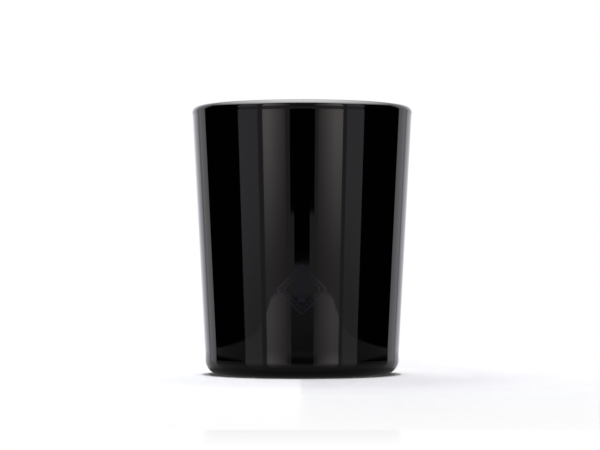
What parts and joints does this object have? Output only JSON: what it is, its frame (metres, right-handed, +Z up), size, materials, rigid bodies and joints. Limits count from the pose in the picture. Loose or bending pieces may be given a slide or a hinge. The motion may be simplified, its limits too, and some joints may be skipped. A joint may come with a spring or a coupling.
{
  "type": "candle jar",
  "caption": "Empty tapered glass tumbler for a poured candle, gloss black outside, with a thick base, a rounded lip and a small printed emblem.",
  "frame": {"origin": "centre of the ring that the glass stands on, on the table", "axes": "+Z up along the axis of the tumbler; the print faces -Y; +X to the right of someone facing the print"},
  "size_m": [0.08, 0.08, 0.097],
  "materials": {
    "glass": "clear, fire-polished",
    "lacquer": "mirror gloss",
    "ink": "satin"
  },
  "bodies": {
    "root": {"glass_tumbler": "glass", "wall_lacquer": "lacquer", "base_lacquer": "lacquer", "print_outer_frame": "ink", "print_inner_frame": "ink", "print_beads": "ink", "print_flame": "ink", "print_wick": "ink", "print_cup": "ink"}
  },
  "joints": []
}
